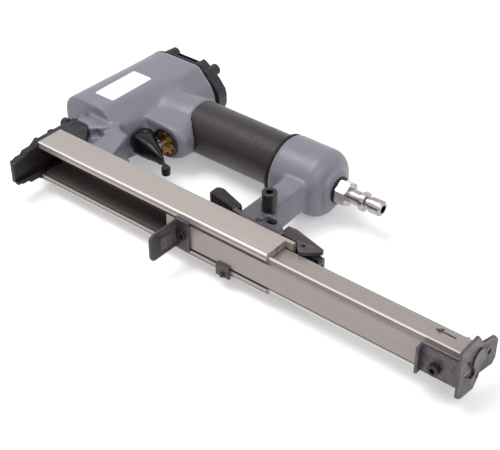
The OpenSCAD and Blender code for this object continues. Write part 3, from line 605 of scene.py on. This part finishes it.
@dataclass(frozen=True)
class EasedPart:
    """A machined, pressed or extruded part: the CAD node's shape with eased edges."""

    node: str
    ease: float = 0.3
    steps: int = 2
    angle: float = 32.0
    finish: Optional[Finish] = None

    def build(self, tool: Tool) -> bpy.types.Object:
        """Copies the node, and rounds its sharp edges.

        Args:
            tool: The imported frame.

        Returns:
            The new piece.
        """
        mesh = to_mesh(self.node + "_eased", tool.copy_mesh(self.node), self.angle)
        piece = tool.finish_piece(self.node + "_eased", mesh, self.node, (self.node,), self.finish)
        bevel = piece.modifiers.new("ease", "BEVEL")
        bevel.width = self.ease * MM
        bevel.segments = self.steps
        bevel.limit_method = "ANGLE"
        bevel.angle_limit = math.radians(self.angle)
        bevel.harden_normals = True
        bevel.use_clamp_overlap = True
        bevel.miter_outer = "MITER_ARC"
        return piece


def eased(*nodes: str, finish: Optional[Finish] = None) -> tuple[EasedPart, ...]:
    """Several nodes whose edges are eased in the same way."""
    return tuple(EasedPart(node, finish=finish) for node in nodes)


@dataclass(frozen=True)
class Melt:
    """A ball of space in which a casting's corners melt together."""

    place: tuple[float, float, float]
    radius: float
    passes: int = 30
    swell: float = 0.0

    def apply(self, tool: Tool, shape: bmesh.types.BMesh) -> None:
        """Smooths the vertices of the ball, over a shrinking reach so that its border stays soft.

        Args:
            tool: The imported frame, which says where the ball is.
            shape: The casting's mesh.
        """
        middle = tool.at(*self.place)
        reach = [(vert, (vert.co - middle).length / MM) for vert in shape.verts]
        for number in range(self.passes):
            limit = self.radius * (1 - 0.5 * number / self.passes)
            inner = [vert for vert, far in reach if far < limit]
            bmesh.ops.smooth_vert(shape, verts=inner, factor=0.5, use_axis_x=True, use_axis_y=True,
                                  use_axis_z=True)
        if self.swell:
            shape.normal_update()
            for vert, far in reach:
                vert.co += vert.normal * self.swell * MM * max(0.0, min(1.0, 2 * (1 - far / self.radius)))


@dataclass(frozen=True)
class CastPart:
    """A cast or moulded part: the CAD node's shape with its corners flowing into each other."""

    node: str
    voxel: float = 0.9
    smoothing: int = 8
    melts: Sequence[Melt] = ()

    def build(self, tool: Tool) -> bpy.types.Object:
        """Copies the node, meshes it evenly and smooths it.

        Args:
            tool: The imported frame.

        Returns:
            The new piece.
        """
        name = self.node + "_rough"
        rough = bpy.data.objects.new(name, to_mesh(name, tool.copy_mesh(self.node)))
        bpy.context.scene.collection.objects.link(rough)
        remesh = rough.modifiers.new("even", "REMESH")
        remesh.mode = "VOXEL"
        remesh.voxel_size = self.voxel * MM
        smooth = rough.modifiers.new("flow", "SMOOTH")
        smooth.factor = 0.5
        smooth.iterations = self.smoothing
        shape = bmesh.new()
        shape.from_object(rough, bpy.context.evaluated_depsgraph_get())
        bpy.data.objects.remove(rough)
        for melt in self.melts:
            melt.apply(tool, shape)
        return tool.finish_piece(self.node + "_cast", to_mesh(self.node + "_cast", shape, 180.0), self.node,
                                 (self.node,))


def aim(shape: bmesh.types.BMesh, place: Vector, direction: Vector) -> None:
    """Moves a shape made about the Z axis to a place, with Z turned to a direction."""
    turn = direction.to_track_quat("Z", "Y").to_matrix().to_4x4()
    bmesh.ops.transform(shape, matrix=Matrix.Translation(place) @ turn, verts=shape.verts)


@dataclass(frozen=True)
class Coil:
    """A round-wire compression spring."""

    node: str
    start: tuple[float, float, float]
    direction: tuple[float, float, float]
    length: float
    radius: float
    wire: float
    turns: int
    joint: str
    fixed: tuple[float, float, float]
    keep: float
    steps: int = 20
    sides: int = 8
    closed_gap: float = 1.05

    def build(self, tool: Tool) -> bpy.types.Object:
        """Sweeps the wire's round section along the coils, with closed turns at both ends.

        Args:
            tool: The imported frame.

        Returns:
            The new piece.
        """
        shape = bmesh.new()
        circle = bmesh.ops.create_circle(shape, cap_ends=False, segments=self.sides, radius=self.wire * MM)
        ring = circle["verts"]
        upright = Matrix.Rotation(math.radians(90), 4, "X")
        bmesh.ops.transform(shape, matrix=upright, verts=ring)
        bmesh.ops.translate(shape, vec=((self.radius - self.wire) * MM, 0, self.wire * MM), verts=ring)
        closed = 2 * self.wire * self.closed_gap
        open_turns = self.turns - 2
        pitch = (self.length - 2 * self.wire - 2 * closed) / open_turns
        last = list(shape.verts) + list(shape.edges)
        for count, rise in ((1, closed), (open_turns, pitch), (1, closed)):
            spun = bmesh.ops.spin(shape, geom=last, cent=(0, 0, 0), axis=(0, 0, 1),
                                  dvec=(0, 0, rise * MM / self.steps), angle=math.tau * count,
                                  steps=self.steps * count, use_duplicate=False)
            last = spun["geom_last"]
        open_edges = [edge for edge in shape.edges if edge.is_boundary]
        bmesh.ops.holes_fill(shape, edges=open_edges, sides=self.sides)
        bmesh.ops.recalc_face_normals(shape, faces=shape.faces)
        aim(shape, tool.at(*self.start), Vector(self.direction))
        piece = tool.finish_piece(self.node + "_coil", to_mesh(self.node + "_coil", shape, 50.0), self.node,
                                  (self.node,))
        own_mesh(piece)
        return piece


@dataclass(frozen=True)
class Label:
    """The blank sticker: a thin sheet with rounded corners."""

    node: str = "name_label"
    corner: float = 1.6
    corner_steps: int = 6

    def build(self, tool: Tool) -> bpy.types.Object:
        """Cuts the sheet to the CAD label's box, with round corners.

        Args:
            tool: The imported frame.

        Returns:
            The new piece.
        """
        low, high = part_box(self.node)
        shape = bmesh.new()
        bmesh.ops.create_grid(shape, x_segments=1, y_segments=1, size=0.5)
        bmesh.ops.scale(shape, vec=(high.x - low.x, high.y - low.y, 1), verts=shape.verts)
        middle = (low + high) / 2
        bmesh.ops.translate(shape, vec=(middle.x, middle.y, low.z), verts=shape.verts)
        bmesh.ops.bevel(shape, geom=shape.verts, offset=self.corner * MM, offset_type="OFFSET",
                        segments=self.corner_steps, profile=0.5, affect="VERTICES", material=-1)
        raised = bmesh.ops.extrude_face_region(shape, geom=shape.faces)["geom"]
        bmesh.ops.translate(shape, vec=(0, 0, high.z - low.z),
                            verts=[item for item in raised if isinstance(item, bmesh.types.BMVert)])
        bmesh.ops.recalc_face_normals(shape, faces=shape.faces)
        name = "blank_label_sheet"
        return tool.finish_piece(name, to_mesh(name, shape), self.node, (self.node,))


@dataclass(frozen=True)
class Studio:
    """White floor, soft light, and a camera where the photograph's stood."""

    eye: tuple[float, float, float] = (0.3396, -0.4409, 0.4210)
    looking: tuple[float, float, float] = (-0.5048, 0.6225, -0.5981)
    lens: float = 84.43
    sensor: float = 36.0
    glow: float = 0.3
    daylight: float = 0.52

    def camera(self) -> None:
        """Places the camera at the photograph's angle."""
        data = bpy.data.cameras.new("camera")
        data.lens, data.sensor_width = self.lens, self.sensor
        data.clip_start, data.clip_end = 0.01, 20.0
        camera = bpy.data.objects.new("camera", data)
        camera.location = self.eye
        camera.rotation_mode = "QUATERNION"
        camera.rotation_quaternion = Vector(self.looking).to_track_quat("-Z", "Y")
        bpy.context.scene.collection.objects.link(camera)
        bpy.context.scene.camera = camera

    def floor(self) -> None:
        """Lays a wide white floor that keeps the soft shadow."""
        shape = bmesh.new()
        bmesh.ops.create_grid(shape, x_segments=2, y_segments=2, size=4.0)
        floor = bpy.data.objects.new("floor", to_mesh("floor", shape))
        bpy.context.scene.collection.objects.link(floor)
        material = bpy.data.materials.new("white_floor")
        material.use_nodes = True
        nodes = Nodes(material.node_tree)
        seen = self.seen(nodes)
        matt = nodes.add("ShaderNodeBsdfDiffuse", {}, {"Color": (0.86, 0.86, 0.87, 1.0)}).outputs[0]
        light = {"Color": (1, 1, 1, 1), "Strength": seen * self.glow}
        glow = nodes.add("ShaderNodeEmission", {}, light).outputs[0]
        both = nodes.add("ShaderNodeAddShader", {}, {0: matt, 1: glow}).outputs[0]
        nodes.add("ShaderNodeOutputMaterial", {}, {"Surface": both})
        floor.data.materials.append(material)
        floor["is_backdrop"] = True

    @staticmethod
    def seen(nodes: Nodes) -> Value:
        """Tells rays that show the backdrop from rays that carry light.

        Args:
            nodes: The node maker of the floor or the world.

        Returns:
            One for rays from the camera, a gloss or a glass, and nought for the others.
        """
        path = nodes.add("ShaderNodeLightPath", {}, {}).outputs
        kinds = ("Is Camera Ray", "Is Glossy Ray", "Is Transmission Ray")
        rays = [Value(nodes, path[name]) for name in kinds]
        return (rays[0] + rays[1] + rays[2]).spread(0.0, 1.0)

    def world(self) -> None:
        """A white surround, at full strength only where it is seen."""
        world = bpy.data.worlds.new("surround")
        bpy.context.scene.world = world
        world.use_nodes = True
        nodes = Nodes(world.node_tree)
        strength = self.seen(nodes).spread(0.0, 1.0, self.daylight, 1.0)
        back = nodes.add("ShaderNodeBackground", {}, {"Color": (1, 1, 1, 1), "Strength": strength}).outputs[0]
        nodes.add("ShaderNodeOutputWorld", {}, {"Surface": back})

    @staticmethod
    def lamp(name: str, place: Sequence[float], aim: Sequence[float], size: float, watts: float) -> None:
        """Adds one soft square lamp.

        Args:
            name: The lamp's name.
            place: Where it hangs, in metres.
            aim: The point that it looks at.
            size: The length of its side.
            watts: Its power.
        """
        data = bpy.data.lights.new(name, "AREA")
        data.shape, data.size, data.energy = "SQUARE", size, watts
        lamp = bpy.data.objects.new(name, data)
        lamp.location = place
        lamp.rotation_mode = "QUATERNION"
        lamp.rotation_quaternion = (Vector(aim) - Vector(place)).to_track_quat("-Z", "Y")
        bpy.context.scene.collection.objects.link(lamp)

    def build(self) -> None:
        """Sets up the whole stage."""
        bpy.context.scene.view_settings.view_transform = "Standard"
        self.camera()
        self.floor()
        self.world()
        self.lamp("key", place=(-0.35, -0.25, 1.2), aim=(0.0, 0.0, 0.0), size=0.7, watts=9.0)
        self.lamp("fill", place=(0.9, -0.3, 0.8), aim=(0.0, 0.0, 0.0), size=0.9, watts=4.0)


@dataclass(frozen=True)
class Head:
    """The casting under its cap, with vent bars, screws and blank label, and the head valve's spring."""

    cap: tuple[EasedPart, ...] = eased("cylinder_cap", "cap_gasket", "exhaust_deflector", "cap_screws")
    casting: CastPart = CastPart("housing", voxel=0.8, smoothing=8, melts=(
        Melt(place=(27, 84, 15), radius=19, passes=90), Melt(place=(27, 84, -15), radius=19, passes=90),
        Melt(place=(142, 68, 0), radius=16),
        Melt(place=(33, 42, 12), radius=9, passes=40), Melt(place=(33, 42, -12), radius=9, passes=40)))
    label: Label = Label()
    valve_spring: Coil = Coil(
        "head_valve_spring", start=(-1.8, 109.25, 0), direction=ALONG_Y, length=14.8, radius=10.55,
        wire=0.75, turns=6, joint="head_valve_lift", fixed=(-1.8, 124.1, 0), keep=0.8, steps=48, sides=12)

    def build(self, tool: Tool) -> None:
        """Builds the head's pieces in order."""
        for piece in (*self.cap, self.casting, self.label, self.valve_spring):
            piece.build(tool)


@dataclass(frozen=True)
class TriggerGroup:
    """The trigger on its pin, the brass valve above it, and the springs of both."""

    valve: tuple[EasedPart, ...] = eased("valve_body")
    dull: tuple[EasedPart, ...] = eased("trigger_pin", "valve_collar", finish=DULL_STEEL)
    trigger: CastPart = CastPart("trigger", voxel=0.5, smoothing=6, melts=(
        Melt(place=(40, 53, 0), radius=17, passes=110, swell=1.25),))
    trigger_spring: Coil = Coil(
        "trigger_spring", start=(41.4, 50.3, 0), direction=ALONG_Y, length=11.9, radius=1.38,
        wire=0.22, turns=9, joint="trigger_pull", fixed=(41.4, 62.2, 0), keep=0.85)
    valve_spring: Coil = Coil(
        "valve_spring", start=(45.6, 69.05, 0), direction=ALONG_Y, length=6.1, radius=3.55,
        wire=0.35, turns=5, joint="valve_stem_press", fixed=(45.6, 75.2, 0), keep=0.53)

    def build(self, tool: Tool) -> None:
        """Builds the trigger group's pieces in order."""
        for piece in (*self.valve, *self.dull, self.trigger, self.trigger_spring, self.valve_spring):
            piece.build(tool)


@dataclass(frozen=True)
class GripAndRear:
    """The sleeved grip, the ring in front of the rear chamber, the air plug and the rear bolt."""

    grip: tuple[EasedPart, ...] = eased("grip_sleeve", "grip_end_ring")
    rear: tuple[EasedPart, ...] = eased("air_plug", "plug_seal", "rear_bolt")

    def build(self, tool: Tool) -> None:
        """Builds the pieces of grip and rear in order."""
        for piece in (*self.grip, *self.rear):
            piece.build(tool)


@dataclass(frozen=True)
class Nose:
    """The two black bodies of the nose, and the plate and block that are screwed to them."""

    bodies: tuple[EasedPart, ...] = eased("nose_base", "nose_guide")
    plates: tuple[EasedPart, ...] = eased("nose_front_plate", "nose_clamp_block", "nose_screws")

    def build(self, tool: Tool) -> None:
        """Builds the nose's pieces in order."""
        for piece in (*self.bodies, *self.plates):
            piece.build(tool)


@dataclass(frozen=True)
class Magazine:
    """The two extrusions with their stop, brackets and screws, and the spring that draws the pusher."""

    channel: EasedPart = EasedPart("magazine_channel", finish=CHANNEL)
    slide: EasedPart = EasedPart("magazine_slide", finish=SLIDE)
    stop: tuple[EasedPart, ...] = (*eased("stop_block"), *eased("stop_screw", finish=DULL_STEEL))
    front: EasedPart = EasedPart("front_bracket", ease=0.4, steps=3, finish=BRACKET)
    fittings: tuple[EasedPart, ...] = eased("bracket_screws", "end_bracket", "end_screw")
    pusher_spring: Coil = Coil(
        "pusher_spring", start=(134.1, 8, 0), direction=ALONG_X, length=153.8, radius=2.2,
        wire=0.35, turns=62, joint="staple_pusher", fixed=(287.9, 8, 0), keep=0.168)

    def build(self, tool: Tool) -> None:
        """Builds the magazine's pieces in order."""
        for piece in (self.channel, self.slide, *self.stop, self.front, *self.fittings, self.pusher_spring):
            piece.build(tool)


@dataclass(frozen=True)
class Latch:
    """The lever that holds the shut magazine, with its pad, pin, spring and stud, and the end buffer."""

    lever: tuple[EasedPart, ...] = eased("latch_lever", "latch_pad", "latch_pin")
    holds: tuple[EasedPart, ...] = eased("end_buffer", "latch_stud")
    spring: Coil = Coil(
        "latch_spring", start=(136, 19.1, 0), direction=ALONG_Y, length=7.6, radius=2.0,
        wire=0.35, turns=6, joint="latch_press", fixed=(136, 19.1, 0), keep=0.68)

    def build(self, tool: Tool) -> None:
        """Builds the latch's pieces in order."""
        for piece in (*self.lever, *self.holds, self.spring):
            piece.build(tool)


def main() -> None:
    """Builds the stage and the pieces in order."""
    logging.basicConfig(level=logging.INFO, format="%(name)s: %(message)s")
    tool = Tool()
    Studio().build()
    tool.paint_nodes()
    for group in (Head(), TriggerGroup(), GripAndRear(), Nose(), Magazine(), Latch()):
        group.build(tool)


if __name__ == "__main__":
    main()
